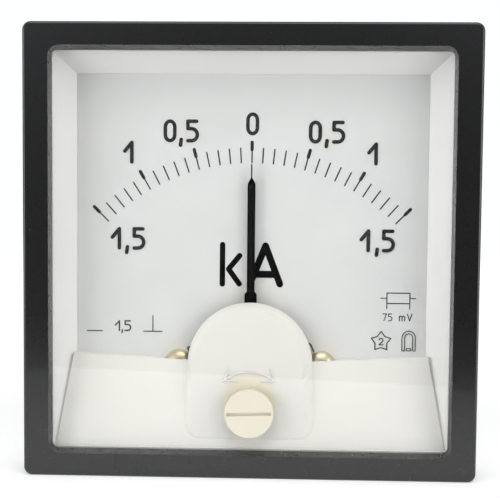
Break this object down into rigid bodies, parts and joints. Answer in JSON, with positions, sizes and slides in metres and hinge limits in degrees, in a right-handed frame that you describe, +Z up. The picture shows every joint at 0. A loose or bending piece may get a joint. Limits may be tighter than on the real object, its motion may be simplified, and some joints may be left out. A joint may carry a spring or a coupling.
{
  "type": "panel galvanometer",
  "caption": "Square panel-mounting moving-coil galvanometer with a black bezel, clear window, centre-zero scale, pointer and slotted zero corrector.",
  "frame": {"origin": "centre of the panel cut-out, in the plane of the bezel's rear face, which rests on the panel's front", "axes": "+Y into the panel, toward the terminals; -Y is the front that is read; +Z up; +X to the right as seen from the front"},
  "size_m": [0.0876, 0.0495, 0.08],
  "materials": {
    "black_plastic": "satin, fine-grained moulding",
    "clear_window": "clear polished plastic",
    "ivory_plastic": "satin ivory moulding",
    "dial_white": "matt white enamel with printed scale",
    "cream_plastic": "satin cream moulding",
    "corrector_plastic": "satin warm cream moulding",
    "nickel_brass": "pale polished brass",
    "zinc_steel": "zinc-plated",
    "dark_steel": "dark hardened steel",
    "bridge_aluminium": "die-cast",
    "yoke_steel": "turned soft iron",
    "magnet_alloy": "ground magnet alloy",
    "jewel": "polished synthetic stone",
    "spring_bronze": "rolled bronze strip",
    "copper_wire": "enamelled winding",
    "pointer_black": "matt black",
    "brown_plastic": "moulded phenolic",
    "wire_sleeve": "plastic sleeve"
  },
  "bodies": {
    "meter_body": {"bezel": "black_plastic", "window": "clear_window", "case": "ivory_plastic", "dial_plate": "dial_white", "front_shield": "cream_plastic", "dial_screws": "nickel_brass", "stop_wires": "dark_steel", "front_bridge": "bridge_aluminium", "rear_bridge": "bridge_aluminium", "rear_bridge_screws": "zinc_steel", "movement_base": "bridge_aluminium", "movement_screws": "zinc_steel", "yoke_ring": "yoke_steel", "core_magnet": "magnet_alloy", "core_spacers": "bridge_aluminium", "front_jewel_screw": "nickel_brass", "rear_jewel_screw": "nickel_brass", "front_jewel": "jewel", "rear_jewel": "jewel", "front_lock_nut": "nickel_brass", "rear_lock_nut": "nickel_brass", "rear_hairspring": "spring_bronze", "solder_tags": "nickel_brass", "stud_nuts": "nickel_brass", "resistor_bobbin": "brown_plastic", "resistor_winding": "copper_wire", "lead_wires": "wire_sleeve", "terminal_stud_negative": "nickel_brass", "terminal_stud_positive": "nickel_brass", "clamp_bracket_left": "zinc_steel", "clamp_bracket_right": "zinc_steel"},
    "pointer_movement": {"coil_former": "bridge_aluminium", "coil_winding": "copper_wire", "front_staff": "dark_steel", "rear_staff": "dark_steel", "pointer_arm": "pointer_black", "pointer_blade": "pointer_black", "balance_weights": "nickel_brass"},
    "corrector": {"corrector_screw": "corrector_plastic", "corrector_clip": "zinc_steel"},
    "regulator": {"regulator_arm": "nickel_brass", "front_hairspring": "spring_bronze"},
    "clamp_foot_left": {"clamp_foot_left": "zinc_steel"},
    "clamp_screw_left": {"clamp_screw_left": "zinc_steel"},
    "clamp_foot_right": {"clamp_foot_right": "zinc_steel"},
    "clamp_screw_right": {"clamp_screw_right": "zinc_steel"},
    "terminal_washer_negative": {"terminal_washer_negative": "nickel_brass"},
    "terminal_nut_negative": {"terminal_nut_negative": "nickel_brass"},
    "terminal_washer_positive": {"terminal_washer_positive": "nickel_brass"},
    "terminal_nut_positive": {"terminal_nut_positive": "nickel_brass"}
  },
  "joints": [
    {"name": "pointer_swing", "type": "hinge", "parent": "meter_body", "child": "pointer_movement", "pos_m": [0, 0.0115, -0.0209], "axis": [0, 1, 0], "range_deg": [-48, 48], "stiffness_Nm_per_rad": 0.00003},
    {"name": "zero_corrector", "type": "hinge", "parent": "meter_body", "child": "corrector", "pos_m": [0, -0.006, -0.0286], "axis": [0, 1, 0], "range_deg": [-45, 45]},
    {"name": "regulator_turn", "type": "hinge", "parent": "meter_body", "child": "regulator", "pos_m": [0, 0, -0.0209], "axis": [0, 1, 0], "range_deg": [-6.1, 6.1]},
    {"name": "clamp_left_travel", "type": "slide", "parent": "meter_body", "child": "clamp_foot_left", "axis": [0, -1, 0], "range_m": [0, 0.006]},
    {"name": "clamp_left_screw", "type": "hinge", "parent": "clamp_foot_left", "child": "clamp_screw_left", "pos_m": [-0.0404, 0.02, 0], "axis": [0, -1, 0], "range_deg": [0, 4321]},
    {"name": "clamp_right_travel", "type": "slide", "parent": "meter_body", "child": "clamp_foot_right", "axis": [0, -1, 0], "range_m": [0, 0.006]},
    {"name": "clamp_right_screw", "type": "hinge", "parent": "clamp_foot_right", "child": "clamp_screw_right", "pos_m": [0.0404, 0.02, 0], "axis": [0, -1, 0], "range_deg": [0, 4321]},
    {"name": "terminal_negative_travel", "type": "slide", "parent": "meter_body", "child": "terminal_washer_negative", "axis": [0, 1, 0], "range_m": [0, 0.0045]},
    {"name": "terminal_negative_nut", "type": "hinge", "parent": "terminal_washer_negative", "child": "terminal_nut_negative", "pos_m": [-0.018, 0.0335, 0.002], "axis": [0, -1, 0], "range_deg": [-2315.29, 0]},
    {"name": "terminal_positive_travel", "type": "slide", "parent": "meter_body", "child": "terminal_washer_positive", "axis": [0, 1, 0], "range_m": [0, 0.0045]},
    {"name": "terminal_positive_nut", "type": "hinge", "parent": "terminal_washer_positive", "child": "terminal_nut_positive", "pos_m": [0.018, 0.0335, 0.002], "axis": [0, -1, 0], "range_deg": [-2315.29, 0]}
  ],
  "couplings": [
    {"joint": "regulator_turn", "follows": "zero_corrector", "ratio": -0.134},
    {"joint": "clamp_left_screw", "follows": "clamp_left_travel", "rad_per_m": 12566},
    {"joint": "clamp_right_screw", "follows": "clamp_right_travel", "rad_per_m": 12566},
    {"joint": "terminal_negative_nut", "follows": "terminal_negative_travel", "rad_per_m": -8976},
    {"joint": "terminal_positive_nut", "follows": "terminal_positive_travel", "rad_per_m": -8976}
  ]
}
